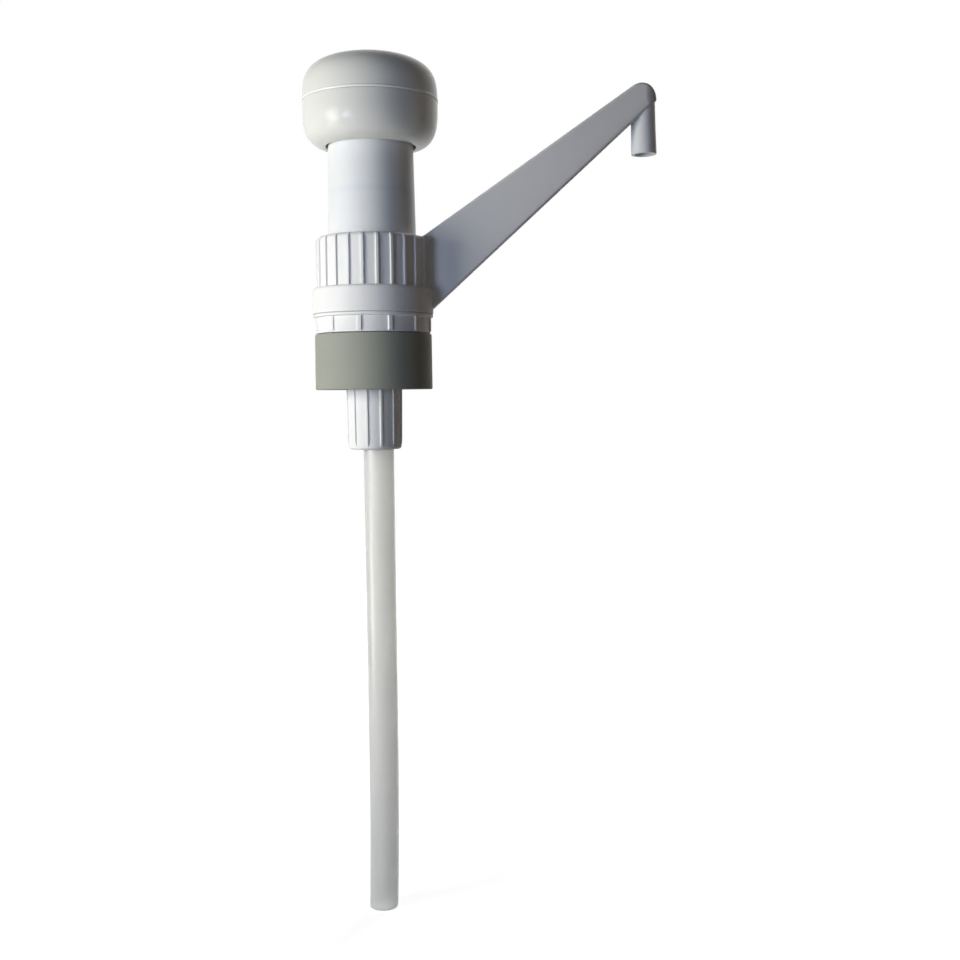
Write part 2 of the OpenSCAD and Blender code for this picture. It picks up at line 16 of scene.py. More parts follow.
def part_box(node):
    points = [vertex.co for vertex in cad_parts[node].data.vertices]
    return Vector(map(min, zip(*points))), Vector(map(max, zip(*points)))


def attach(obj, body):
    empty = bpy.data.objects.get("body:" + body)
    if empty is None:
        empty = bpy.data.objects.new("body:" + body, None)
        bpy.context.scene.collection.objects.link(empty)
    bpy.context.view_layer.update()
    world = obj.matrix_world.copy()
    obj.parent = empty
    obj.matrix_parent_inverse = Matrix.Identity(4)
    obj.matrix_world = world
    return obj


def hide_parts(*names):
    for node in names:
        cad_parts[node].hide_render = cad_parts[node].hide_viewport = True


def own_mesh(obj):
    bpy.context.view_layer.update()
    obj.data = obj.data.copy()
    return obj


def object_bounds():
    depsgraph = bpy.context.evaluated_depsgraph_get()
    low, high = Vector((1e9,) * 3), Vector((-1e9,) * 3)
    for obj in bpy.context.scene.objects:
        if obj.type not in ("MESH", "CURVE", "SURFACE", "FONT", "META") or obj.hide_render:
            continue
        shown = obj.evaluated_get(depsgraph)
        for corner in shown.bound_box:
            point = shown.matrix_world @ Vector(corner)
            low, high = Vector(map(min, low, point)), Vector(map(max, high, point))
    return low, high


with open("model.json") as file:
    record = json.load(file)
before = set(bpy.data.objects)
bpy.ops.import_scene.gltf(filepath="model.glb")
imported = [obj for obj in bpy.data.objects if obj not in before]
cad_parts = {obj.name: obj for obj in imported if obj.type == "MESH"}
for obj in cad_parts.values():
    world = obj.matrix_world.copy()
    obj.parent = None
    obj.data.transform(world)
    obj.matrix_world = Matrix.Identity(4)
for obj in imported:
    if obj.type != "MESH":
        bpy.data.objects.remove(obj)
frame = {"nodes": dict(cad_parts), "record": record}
cad_low, cad_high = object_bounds()

MM = 0.001


# Sizes taken from the frame

def low_mm(node):
    """Lowest corner of a node, in millimetres."""
    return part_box(node)[0] / MM


def high_mm(node):
    """Highest corner of a node, in millimetres."""
    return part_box(node)[1] / MM


z_seam = low_mm("knob_dome").z
z_knob_top = high_mm("knob_dome").z
knob_r = high_mm("knob_dome").x
z_rim = low_mm("knob_bowl").z
bowl_r = high_mm("knob_bowl").x
z_rod_top = high_mm("plunger_rod").z
rod_r = high_mm("plunger_rod").x
z_sleeve_seat = low_mm("outer_sleeve").z
z_sleeve_top = high_mm("outer_sleeve").z
sleeve_r = high_mm("outer_sleeve").x
barrel_r = high_mm("pump_barrel").x
z_ledge = high_mm("guide_bush").z
z_skirt = low_mm("spout_housing").z
skirt_r = -low_mm("spout_housing").x
z_union = low_mm("union_ring").z
z_union_top = high_mm("union_ring").z
union_lip_r = high_mm("union_ring").x
adapter_r = high_mm("thread_adapter").x
z_adapter_top = high_mm("thread_adapter").z
z_neck_seat = high_mm("cap_gasket").z
z_nut = low_mm("suction_nut").z
z_nut_top = high_mm("suction_nut").z
z_tube = low_mm("dip_tube").z
z_tube_top = high_mm("dip_tube").z
tube_r = (high_mm("dip_tube").y - low_mm("dip_tube").y) / 2
tube_x = (high_mm("dip_tube").x + low_mm("dip_tube").x) / 2


# Sizes of the knob that its boxes don't show

KNOB_WALL = 2.6
DOME_PINCH = 2.6
DOME_BEND = 0.68
DOME_RISE = 0.47
BOWL_BEND = 0.985
BOWL_DROP = 0.537
RIM_R = 21.95
SEAM_BEAD = 0.25
SEAM_HEIGHT = 1.35
SEAM_GAP = 0.08
GATE_R = 2.6
GATE_FLOOR_R = 2.35
GATE_STUB_R = 0.8
GATE_DEPTH = 0.1
BOSS_R = 10.5
Z_BOSS = 148.5
ROD_FIT = 0.05
CLIP_GAP = 0.6
CLIP_WALL = 1.6
CLIP_ABOVE = 2.5
CLIP_BELOW = 5


# Sizes of the sleeve, the collar and the skirt

SLEEVE_DRAFT = 0.02
SLEEVE_BAND = (93.6, 96.6)
SLEEVE_BORE_R = barrel_r + 0.2
SLEEVE_FIT = 0.05
LEDGE_DEPTH = 3.4
LEDGE_HEIGHT = 2
HOUSING_BORE_R = barrel_r + 0.1
COUNTERBORE_R = barrel_r + 2.1
Z_COUNTERBORE = z_skirt + 8.3
HUB_WALL = 2
COLLAR_R = 26.6
Z_COLLAR = z_skirt + 11.8
Z_COLLAR_TOP = z_skirt + 36.5
COLLAR_ROUND = 2.2
COLLAR_RIBS = 24
COLLAR_RIB_WIDTH = 1.65
COLLAR_RIB_HEIGHT = 0.95
COLLAR_RIB_END = 0.15
COLLAR_RIB_FADE = 2.6
COLLAR_PHASE = 4.7
SKIRT_ROUND = 2.9
SKIRT_WALL = 2.4
SKIRT_GAP = 0.16
Z_SKIRT_ROOF = z_skirt + 8
Z_SKIRT_EDGE = z_union_top + SKIRT_GAP


# Sizes of the union ring, the adapter and the nut

UNION_R = 28.1
UNION_RIBS = 12
UNION_RIB_WIDTH = 2.3
UNION_RIB_HEIGHT = 0.7
UNION_RIB_FOOT = 0.5
UNION_RIB_FADE = 0.6
UNION_PHASE = 16.5
UNION_LIP = 1.8
UNION_GAP = 0.3
UNION_BORE_R = 24.45
UNION_HUB_R = barrel_r + 2.3
PIP_ANGLE = -135.6
PIP_SIZE = Vector((0.6, 0.8, 0.6))
PIP_SINK = 0.1
NECK_R = 25.5
MALE_R = 24.4
ADAPTER_DRAFT = 0.15
ADAPTER_HOLE_R = 14.8
THREAD_START = 2
THREAD_PITCH = 5
THREAD_TURNS = 2.5
THREAD_RIDGE = 1.3
THREAD_FADE = 1 / 8
NUT_TOP_R = 13.6
NUT_LOW_R = 13.1
NUT_BORE_R = 11.9
NUT_MOUTH_R = 9.8
Z_NUT_SEAT = -16.3
NUT_RIBS = 12
NUT_RIB_WIDTH = 1.3
NUT_RIB_HEIGHT = 0.6
NUT_RIB_FOOT = 1.9
NUT_RIB_END = 0.8
NUT_RIB_FADE = 1.2
NUT_PHASE = 13.5


# Sizes of the arm and the nozzle; a pair is a place in the plane of X and Z

ARM_TOP = Vector((18.41, 69.95))
ARM_TOP_SLOPE = 35.15
ARM_LOW = Vector((29.84, 39.53))
ARM_LOW_SLOPE = 42.51
ARM_LOW_LEAD = 5
ARM_CORNER_SHARE = 0.6
ARM_END_X = 141.0
ARM_END_R = 7.9
ARM_EDGE_R = 1.3
ARM_HALF = 7.0
ARM_PLAN_X = 134.2
ARM_PLAN_R = 7.5
ARM_TIP = Vector((134.2, 144.2))
ARM_STEPS = 24
ARM_END_STEPS = 20
ROOT_FILLET = 2.4
ROOT_FILLET_STEPS = 10
ROOT_SINK = 0.1
ROOT_DEPTH = 0.8
ROOT_ABOVE_SKIRT = 0.9
ROOT_OFF_SLEEVE = 0.5
ROOT_HUB = (23.0, 0.0, 56.0)
PORT = Vector((18.4, 52.0))
PORT_OVERCUT = 10
VALVE_BORE_R = 5.6
VALVE_BORE_LENGTH = 24
CHANNEL_R = 4.4
CHANNEL_OVERLAP = 1
NOZZLE_TOP = Vector((134.5, 0.0, 141.3))
NOZZLE_LEAN = 1.6
NOZZLE_LENGTH = 26.1
NOZZLE_STRAIGHT = 14
NOZZLE_R = 6.1
NOZZLE_END_R = 6.3
NOZZLE_BORE_R = 4.5
NOZZLE_EXTRA = 1.4
NOZZLE_GAP = 0.06
SOCKET_DEPTH = NOZZLE_EXTRA + 0.1


# Sizes of the spring and the tube

SPRING_TURNS = 8
SPRING_WIRE = 1.6
SPRING_CLOSED_PITCH = 1.8
TUBE_WALL = 1.4
TUBE_TAPER = 0.35
TUBE_BOW = 1.32
TUBE_BOW_BACK = 2.07
TUBE_EDGE = 0.3
# Length in millimetres over which painted shade greys the tube towards its lower end
TUBE_SHADE_LENGTH = 150


# Fineness of the meshes

TURN_STEP = 2.5
CURVE_SAMPLES = 4000
ROUNDING_REACH = 0.48
RIB_CREST = 0.72
RIB_FLANK = 0.42
RIB_STEPS = (0.4, 0.68, 0.78, 0.86, 0.94, 1.02, 1.1, 1.18, 1.7)
RIB_PANEL_STEPS = 5
WELD = 0.002
SLIVER = 0.001
SHARP_DEGREES = 35


# Outlines

def rounded(corners, steps=5):
    """Closed outline with rounded corners; a corner is (radius, height, rounding)."""
    points = []
    for i, (r, z, rounding) in enumerate(corners):
        here = Vector((r, z))
        if rounding == 0:
            points.append((r, z))
            continue
        before = Vector(corners[i - 1][:2]) - here
        after = Vector(corners[(i + 1) % len(corners)][:2]) - here
        half = before.angle(after) / 2
        longest = ROUNDING_REACH * min(before.length, after.length)
        reach = min(rounding / math.tan(half), longest)
        radius = reach * math.tan(half)
        inward = (before.normalized() + after.normalized()).normalized()
        middle = here + inward * (radius / math.sin(half))
        start = here + before.normalized() * reach - middle
        end = here + after.normalized() * reach - middle
        start_angle = math.atan2(start.y, start.x)
        turn = (math.atan2(end.y, end.x) - start_angle + math.pi) % (2 * math.pi) - math.pi
        for k in range(steps + 1):
            angle = start_angle + turn * k / steps
            points.append((middle.x + radius * math.cos(angle), middle.y + radius * math.sin(angle)))
    return points


def with_steps(outline, longest):
    """The same closed outline with long stretches split, so that no step is longer than given."""
    points = []
    for i, here in enumerate(outline):
        there = outline[(i + 1) % len(outline)]
        count = max(1, math.ceil(math.dist(here, there) / longest))
        for k in range(count):
            share = k / count
            points.append((here[0] + (there[0] - here[0]) * share, here[1] + (there[1] - here[1]) * share))
    return points


def evenly(curve, count):
    """An open curve, given as an array of points, laid out again in steps of equal length."""
    lengths = np.concatenate([[0], np.cumsum(np.hypot(*np.diff(curve, axis=0).T))])
    places = np.linspace(0, lengths[-1], count)
    return [(np.interp(s, lengths, curve[:, 0]), np.interp(s, lengths, curve[:, 1])) for s in places]


def quarter_turn():
    """Angles from 0 to 90 degrees, closest together near 0, where the knob's curves start."""
    return np.radians(90 * np.linspace(0, 1, CURVE_SAMPLES) ** 3)


def dome_curve(r, height):
    """Outside of the knob's upper half, from the seam to the middle of its top."""
    a = quarter_turn()
    curve = np.stack([(r - DOME_PINCH * np.sin(a)) * np.cos(a).clip(0) ** DOME_BEND,
                      z_seam + height * np.sin(a) ** DOME_RISE], axis=1)
    curve[-1, 0] = 0
    return evenly(curve, 56)


def bowl_curve(r, height):
    """Outside of the knob's lower half, from the seam to the edge of its mouth."""
    a = quarter_turn()
    curve = np.stack([RIM_R + (r - RIM_R) * np.cos(a).clip(0) ** BOWL_BEND,
                      z_seam - height * np.sin(a) ** BOWL_DROP], axis=1)
    return evenly(curve, 48)


# Mesh parts: each is a list of points and a list of faces

def lathe(outline, angles=None, swell=None):
    """Turns a closed outline around Z; swell(angles, radii, heights) gives changed radii."""
    if angles is None:
        angles = np.radians(np.arange(0, 360, TURN_STEP))
    radii = np.array([p[0] for p in outline])[None, :]
    heights = np.array([p[1] for p in outline])[None, :]
    turned = np.repeat(radii, len(angles), axis=0)
    if swell is not None:
        turned = swell(angles[:, None], radii, heights)
    points = np.stack([turned * np.cos(angles)[:, None], turned * np.sin(angles)[:, None],
                       np.repeat(heights, len(angles), axis=0)], axis=2)
    rows = len(angles)
    columns = len(outline)
    faces = []
    for i in range(rows):
        for j in range(columns):
            after_i = (i + 1) % rows
            after_j = (j + 1) % columns
            faces.append((i * columns + j, after_i * columns + j,
                          after_i * columns + after_j, i * columns + after_j))
    return points.reshape(-1, 3).tolist(), faces


def rings_part(rings, closed_ends=True):
    """Joins rings of equally many points into a tube, with a face over each end if asked."""
    columns = len(rings[0])
    points = [tuple(p) for ring in rings for p in ring]
    faces = []
    for i in range(len(rings) - 1):
        for j in range(columns):
            after_j = (j + 1) % columns
            faces.append((i * columns + j, (i + 1) * columns + j,
                          (i + 1) * columns + after_j, i * columns + after_j))
    if closed_ends:
        faces.append(tuple(range(columns)))
        faces.append(tuple(len(points) - 1 - j for j in range(columns)))
    return points, faces


def placed(part, matrix):
    """The same part moved by a matrix in millimetres."""
    points, faces = part
    return [tuple(matrix @ Vector(p)) for p in points], faces


def around(count):
    """Angles of so many points around a circle."""
    return [2 * math.pi * k / count for k in range(count)]


def rib_angles(count, radius, width, phase):
    """Angles around the axis, close together on the flanks of each rib and wide between them."""
    half = math.degrees(width / 2 / radius)
    period = 360 / count
    last = half * RIB_STEPS[-1]
    steps = [-half * s for s in reversed(RIB_STEPS)] + [0.0] + [half * s for s in RIB_STEPS]
    panel = period - 2 * last
    steps += [last + panel * k / RIB_PANEL_STEPS for k in range(1, RIB_PANEL_STEPS)]
    return np.radians([phase - 90 + i * period + s for i in range(count) for s in steps])


def rib_shape(angles, count, radius, width, phase):
    """Height of the ribs around the axis, from 0 to 1, with rounded crests and feet."""
    period = 2 * math.pi / count
    away = (angles - math.radians(phase - 90) + period / 2) % period - period / 2
    share = np.abs(away) * radius / (width / 2)
    return 0.5 + 0.5 * np.cos(math.pi * ((share - RIB_CREST) / RIB_FLANK).clip(0, 1))


# Pieces

def finish_mesh(mesh):
    """Welds a mesh, turns its faces outward and shades it smooth except at sharp edges."""
    work = bmesh.new()
    work.from_mesh(mesh)
    bmesh.ops.remove_doubles(work, verts=work.verts, dist=WELD * MM)
    bmesh.ops.dissolve_degenerate(work, edges=work.edges, dist=SLIVER * MM)
    bmesh.ops.recalc_face_normals(work, faces=work.faces)
    work.to_mesh(mesh)
    work.free()
    mesh.shade_smooth()
    mesh.set_sharp_from_angle(angle=math.radians(SHARP_DEGREES))


def mesh_object(name, *parts):
    """A new object from parts in millimetres."""
    points = []
    faces = []
    for part_points, part_faces in parts:
        offset = len(points)
        points += [(p[0] * MM, p[1] * MM, p[2] * MM) for p in part_points]
        faces += [tuple(offset + i for i in face) for face in part_faces]
    mesh = bpy.data.meshes.new(name)
    mesh.from_pydata(points, [], faces)
    finish_mesh(mesh)
    obj = bpy.data.objects.new(name, mesh)
    bpy.context.scene.collection.objects.link(obj)
    return obj


def cut(obj, part):
    """Cuts a part's space out of an object."""
    tool = mesh_object("cutting_tool", part)
    change = obj.modifiers.new("cut", "BOOLEAN")
    change.operation = "DIFFERENCE"
    change.solver = "EXACT"
    change.object = tool
    bpy.context.view_layer.update()
    result = bpy.data.meshes.new_from_object(obj.evaluated_get(bpy.context.evaluated_depsgraph_get()))
    obj.modifiers.clear()
    obj.data = result
    finish_mesh(result)
    bpy.data.objects.remove(tool)


def join(obj, other):
    """Adds the other object's mesh to obj, as it is, and deletes the other."""
    work = bmesh.new()
    work.from_mesh(obj.data)
    work.from_mesh(other.data)
    work.to_mesh(obj.data)
    work.free()
    bpy.data.objects.remove(other)


def piece(obj, body, slot, material, *nodes):
    """Makes an object a piece of the pump that stands for the given nodes."""
    obj.data.materials.clear()
    obj.data.materials.append(material)
    normals = obj.modifiers.new("even_shading", "WEIGHTED_NORMAL")
    normals.keep_sharp = True
    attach(obj, body)
    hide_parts(*nodes)


# Material building blocks

def new_material(name):
    """A node material with its shader and a place coordinate in metres."""
    material = bpy.data.materials.new(name)
    material.use_nodes = True
    nodes = material.node_tree.nodes
    shader = nodes["Principled BSDF"]
    place = nodes.new("ShaderNodeTexCoord")
    return material, material.node_tree, shader, place.outputs["Object"]


def set_values(shader, values):
    """Sets a shader's sockets that are the same all over the surface."""
    for socket, value in values.items():
        shader.inputs[socket].default_value = value


def noise(tree, place, size_mm, detail=4.0, stretch=(1, 1, 1)):
    """Noise whose blobs are about size_mm wide; stretch lengthens them along an axis."""
    mapping = tree.nodes.new("ShaderNodeMapping")
    mapping.inputs["Scale"].default_value = tuple(1 / (size_mm * MM * s) for s in stretch)
    texture = tree.nodes.new("ShaderNodeTexNoise")
    texture.inputs["Scale"].default_value = 1.0
    texture.inputs["Detail"].default_value = detail
    tree.links.new(place, mapping.inputs["Vector"])
    tree.links.new(mapping.outputs["Vector"], texture.inputs["Vector"])
    return texture.outputs["Fac"]


def spread(tree, value, low, high, start=0.3, end=0.7):
    """Maps a value from start..end to low..high."""
    remap = tree.nodes.new("ShaderNodeMapRange")
    remap.inputs["From Min"].default_value = start
    remap.inputs["From Max"].default_value = end
    remap.inputs["To Min"].default_value = low
    remap.inputs["To Max"].default_value = high
    tree.links.new(value, remap.inputs["Value"])
    return remap.outputs["Result"]


def calculated(tree, operation, *values):
    """Result of a calculation with numbers and other nodes' outputs."""
    node = tree.nodes.new("ShaderNodeMath")
    node.operation = operation
    for socket, value in zip(node.inputs, values):
        if isinstance(value, float):
            socket.default_value = value
        else:
            tree.links.new(value, socket)
    return node.outputs["Value"]


def tinted(tree, factor, first, second):
    """A colour between two, by a factor; the first may be another node's output."""
    mix = tree.nodes.new("ShaderNodeMix")
    mix.data_type = "RGBA"
    if isinstance(first, tuple):
        mix.inputs["A"].default_value = (*first, 1)
    else:
        tree.links.new(first, mix.inputs["A"])
    mix.inputs["B"].default_value = (*second, 1)
    tree.links.new(factor, mix.inputs["Factor"])
    return mix.outputs["Result"]


def height_of(tree, place):
    """Height of a place, in metres."""
    axes = tree.nodes.new("ShaderNodeSeparateXYZ")
    tree.links.new(place, axes.inputs["Vector"])
    return axes.outputs["Z"]


def between(tree, place, bottom_mm, top_mm, soft_mm):
    """1 where a place lies between two heights, with soft limits, and 0 elsewhere."""
    height = height_of(tree, place)
    soft = soft_mm * MM
    above = spread(tree, height, 0, 1, bottom_mm * MM - soft, bottom_mm * MM + soft)
    below = spread(tree, height, 1, 0, top_mm * MM - soft, top_mm * MM + soft)
    return calculated(tree, "MULTIPLY", above, below)


def add_relief(tree, shader, height, strength, depth_mm):
    """Gives a shader fine relief from a height value."""
    bump = tree.nodes.new("ShaderNodeBump")
    bump.inputs["Strength"].default_value = strength
    bump.inputs["Distance"].default_value = depth_mm * MM
    tree.links.new(height, bump.inputs["Height"])
    tree.links.new(bump.outputs["Normal"], shader.inputs["Normal"])


# Materials

PLASTIC_IOR = 1.5
DRIFT_MM = 16
GLOSS_MM = 5
FLOW_MM = 3
FLOW_SHARE = 0.5
RELIEF_STRENGTH = 0.35
GLOW_DEPTH_MM = 1.2


def moulded(name, colour, shade, roughness, grain_mm, grain_depth_mm, specular, glow=0.0, band=None):
    """Moulded plastic: slight colour drift, uneven gloss, fine grain and faint flow lines.

    Glow is the share of light that spreads below the surface. A band is (low, high, softness, colour):
    heights in millimetres between which the colour differs; on the knob's seam it is a painted highlight.
    """
    material, tree, shader, place = new_material(name)
    drift = spread(tree, noise(tree, place, DRIFT_MM), 0, 1)
    surface = tinted(tree, drift, colour, shade)
    if band is not None:
        low, high, soft, band_colour = band
        surface = tinted(tree, between(tree, place, low, high, soft), surface, band_colour)
    tree.links.new(surface, shader.inputs["Base Color"])
    gloss = noise(tree, place, GLOSS_MM, detail=6.0)
    tree.links.new(spread(tree, gloss, roughness - 0.05, roughness + 0.06), shader.inputs["Roughness"])
    flow = noise(tree, place, FLOW_MM, detail=2.0, stretch=(1, 1, 6))
    grain = noise(tree, place, grain_mm, detail=3.0)
    relief = calculated(tree, "MULTIPLY_ADD", flow, FLOW_SHARE, grain)
    add_relief(tree, shader, relief, RELIEF_STRENGTH, grain_depth_mm)
    set_values(shader, {"IOR": PLASTIC_IOR, "Specular IOR Level": specular})
    if glow > 0:
        set_values(shader, {"Subsurface Weight": glow, "Subsurface Radius": (1.0, 0.9, 0.8),
                            "Subsurface Scale": GLOW_DEPTH_MM * MM})
    return material


def milky_tube():
    """Extruded translucent plastic with long faint die lines, and painted shade that greys it towards its
    lower end.
    """
    material, tree, shader, place = new_material("milky_tube")
    drift = spread(tree, noise(tree, place, 9, stretch=(1, 1, 8)), 0, 1)
    unshaded = tinted(tree, drift, (0.975, 0.97, 0.93), (0.955, 0.955, 0.915))
    # Painted shade: the colour greys towards the tube's lower end, standing in for the light falling off down
    # the tube
    painted_shade = spread(tree, height_of(tree, place), 1, 0, z_tube * MM, (z_tube + TUBE_SHADE_LENGTH) * MM)
    tree.links.new(tinted(tree, painted_shade, unshaded, (0.80, 0.81, 0.805)), shader.inputs["Base Color"])
    gloss = noise(tree, place, 2, detail=5.0, stretch=(1, 1, 20))
    tree.links.new(spread(tree, gloss, 0.32, 0.45), shader.inputs["Roughness"])
    lines = noise(tree, place, 0.7, detail=3.0, stretch=(1, 1, 120))
    add_relief(tree, shader, lines, 0.3, 0.02)
    set_values(shader, {"IOR": PLASTIC_IOR, "Transmission Weight": 0.62, "Coat Weight": 0.8,
                        "Coat Roughness": 0.14, "Subsurface Weight": 0.6,
                        "Subsurface Radius": (1.0, 1.0, 0.95), "Subsurface Scale": 6 * MM})
    return material


def rubber():
    """Black seal rubber with a dull bloom."""
    material, tree, shader, place = new_material("seal_rubber")
    drift = spread(tree, noise(tree, place, 4), 0, 1)
    surface = tinted(tree, drift, (0.022, 0.022, 0.023), (0.04, 0.039, 0.038))
    tree.links.new(surface, shader.inputs["Base Color"])
    tree.links.new(spread(tree, noise(tree, place, 1.5), 0.55, 0.75), shader.inputs["Roughness"])
    return material


def steel(name, roughness, stretch):
    """Stainless steel with fine drawing marks along its stretch."""
    material, tree, shader, place = new_material(name)
    marks = noise(tree, place, 0.4, detail=5.0, stretch=stretch)
    surface = tinted(tree, marks, (0.60, 0.61, 0.63), (0.70, 0.71, 0.72))
    tree.links.new(surface, shader.inputs["Base Color"])
    tree.links.new(spread(tree, marks, roughness - 0.05, roughness + 0.08), shader.inputs["Roughness"])
    set_values(shader, {"Metallic": 1.0})
    return material


# The ivory's lighter band along the seam bead is a painted highlight, standing in for the bright line the
# bead catches
IVORY = moulded("ivory_plastic", (0.795, 0.80, 0.75), (0.78, 0.785, 0.735), roughness=0.2, grain_mm=0.5,
                grain_depth_mm=0.0015, specular=0.2, glow=0.12,
                band=(z_seam, z_seam + SEAM_HEIGHT, 0.15, (0.9, 0.905, 0.855)))
COOL_WHITE = moulded("cool_white_plastic", (0.83, 0.85, 0.85), (0.815, 0.835, 0.835), roughness=0.4,
                     grain_mm=0.45, grain_depth_mm=0.008, specular=0.07, glow=0.12,
                     band=(*SLEEVE_BAND, 1.2, (0.785, 0.815, 0.835)))
WARM_WHITE = moulded("warm_white_plastic", (0.865, 0.87, 0.855), (0.845, 0.85, 0.835), roughness=0.42,
                     grain_mm=0.45, grain_depth_mm=0.01, specular=0.07, glow=0.12)
NUT_WHITE = moulded("nut_white_plastic", (0.88, 0.885, 0.87), (0.86, 0.865, 0.85), roughness=0.4,
                    grain_mm=0.45, grain_depth_mm=0.01, specular=0.07, glow=0.12)
NOZZLE_WHITE = moulded("nozzle_white_plastic", (0.9, 0.925, 0.93), (0.885, 0.91, 0.915), roughness=0.3,
                       grain_mm=0.45, grain_depth_mm=0.006, specular=0.15, glow=0.12)
GREY = moulded("grey_plastic", (0.355, 0.367, 0.312), (0.34, 0.352, 0.302), roughness=0.6,
               grain_mm=0.35, grain_depth_mm=0.014, specular=0.04)
NATURAL = moulded("natural_plastic", (0.76, 0.76, 0.70), (0.73, 0.73, 0.66), roughness=0.40,
                  grain_mm=0.5, grain_depth_mm=0.008, specular=0.4, glow=0.2)
MILKY = milky_tube()
RUBBER = rubber()
SPRING_STEEL = steel("spring_steel", 0.30, (1, 1, 8))
BALL_STEEL = steel("ball_steel", 0.12, (1, 1, 1))

SLOT_MATERIALS = {"ivory_plastic": IVORY, "white_plastic": WARM_WHITE, "grey_plastic": GREY,
                  "milky_plastic": MILKY, "natural_plastic": NATURAL, "seal_rubber": RUBBER,
                  "spring_steel": SPRING_STEEL, "ball_steel": BALL_STEEL}


# Knob

def make_knob_dome():
    """Upper half: a shell with a bead along the seam, a gate mark on top and a boss for the rod."""
    height = z_knob_top - z_seam
    outer = dome_curve(knob_r - SEAM_BEAD, height)
    inner = dome_curve(knob_r - KNOB_WALL, height - KNOB_WALL)
    outside = [p for p in outer if p[1] > z_seam + 2 and p[0] > GATE_R + 0.4]
    inside = [p for p in inner if p[0] > BOSS_R + 0.5]
    bead = rounded([(knob_r - 1.4, z_seam, 0), (knob_r - 0.22, z_seam, 0.15), (knob_r, z_seam + 0.65, 0.3),
                    (knob_r - 0.02, z_seam + 0.95, 0.25), (knob_r - SEAM_BEAD, z_seam + SEAM_HEIGHT, 0.2),
                    (knob_r - SEAM_BEAD - 0.02, z_seam + 1.8, 0)], steps=4)
    z_gate = outside[-1][1]
    z_floor = z_gate - GATE_DEPTH
    gate = [(GATE_R, z_gate + 0.03), (GATE_FLOOR_R, z_floor), (GATE_STUB_R, z_floor),
            (GATE_STUB_R - 0.2, z_gate), (0, z_gate + 0.02)]
    z_socket = z_rod_top + ROD_FIT
    socket_r = rod_r + ROD_FIT
    boss = [(0, z_socket), (socket_r, z_socket), (socket_r, Z_BOSS), (BOSS_R, Z_BOSS),
            (BOSS_R, inside[-1][1] + 0.2)]
    obj = mesh_object("knob_dome_shell", lathe(bead + outside + gate + boss + inside[::-1]))
    piece(obj, "plunger", "ivory_plastic", IVORY, "knob_dome")


def make_knob_bowl():
    """Lower half: a shell with a rounded mouth and an upstand that clips into the upper half."""
    height = z_seam - z_rim
    outer = bowl_curve(bowl_r, height)
    inner = bowl_curve(bowl_r - KNOB_WALL, height - KNOB_WALL)
    outside = [p for p in outer if p[0] > RIM_R + 1.0 and p[1] < z_seam - 0.7]
    inside = [p for p in inner if p[0] > RIM_R + 0.6]
    top = rounded([(bowl_r - KNOB_WALL, z_seam - SEAM_GAP, 0), (bowl_r - 0.06, z_seam - SEAM_GAP, 0.2),
                   (bowl_r - 0.02, z_seam - 0.5, 0)], steps=4)
    mouth = rounded([(*outside[-1], 0), (RIM_R, z_rim, 0.5), (RIM_R, z_rim + KNOB_WALL, 0.3),
                     (*inside[-1], 0)], steps=4)
    shell = top + outside[:-1] + mouth + inside[-2:0:-1]
    clip_out = knob_r - KNOB_WALL - CLIP_GAP
    clip_in = clip_out - CLIP_WALL
    foot_r = clip_out + 1
    z_foot = z_seam - CLIP_BELOW
    z_step = z_seam - CLIP_GAP
    z_clip = z_seam + CLIP_ABOVE
    upstand = rounded([(clip_in, z_foot, 0.2), (foot_r, z_foot, 0.2), (foot_r, z_step, 0),
                       (clip_out, z_step, 0), (clip_out, z_clip, 0.3), (clip_in, z_clip, 0.3)], steps=3)
    obj = mesh_object("knob_bowl_shell", lathe(shell), lathe(upstand))
    piece(obj, "plunger", "ivory_plastic", IVORY, "knob_bowl")


# Sleeve

def make_sleeve():
    """Drafted sleeve with the ledge that holds the barrel down."""
    top_r = sleeve_r - SLEEVE_DRAFT * (z_sleeve_top - Z_COLLAR_TOP)
    ledge_r = SLEEVE_BORE_R - LEDGE_DEPTH
    z_ledge_top = z_ledge + LEDGE_HEIGHT
    outline = rounded([(SLEEVE_BORE_R, z_sleeve_seat, 0.3), (sleeve_r, z_sleeve_seat, 0.4),
                       (sleeve_r, Z_COLLAR_TOP, 0), (top_r, z_sleeve_top, 0.8),
                       (SLEEVE_BORE_R, z_sleeve_top, 0.5), (SLEEVE_BORE_R, z_ledge_top, 0.2),
                       (ledge_r, z_ledge_top, 0.3), (ledge_r, z_ledge, 0.3), (SLEEVE_BORE_R, z_ledge, 0.2)])
    obj = mesh_object("sleeve_shell", lathe(with_steps(outline, longest=4)))
    piece(obj, "pump_body", "white_plastic", COOL_WHITE, "outer_sleeve")


# Spout housing: collar, skirt and arm in one moulding

HOUSING_OUTLINE = rounded([
    (HOUSING_BORE_R, Z_COUNTERBORE, 0), (COUNTERBORE_R, Z_COUNTERBORE, 0), (COUNTERBORE_R, z_skirt, 0.2),
    (COUNTERBORE_R + HUB_WALL, z_skirt, 0.2), (COUNTERBORE_R + HUB_WALL, Z_SKIRT_ROOF, 0.5),
    (skirt_r - SKIRT_WALL, Z_SKIRT_ROOF, 0.5), (skirt_r - SKIRT_WALL, Z_SKIRT_EDGE, 0.3),
    (skirt_r, Z_SKIRT_EDGE, 0.35), (skirt_r, Z_COLLAR, SKIRT_ROUND), (COLLAR_R, Z_COLLAR, 0.3),
    (COLLAR_R, Z_COLLAR_TOP, COLLAR_ROUND), (sleeve_r + SLEEVE_FIT, Z_COLLAR_TOP, 0.25),
    (sleeve_r + SLEEVE_FIT, z_sleeve_seat, 0), (HOUSING_BORE_R, z_sleeve_seat, 0)], steps=7)


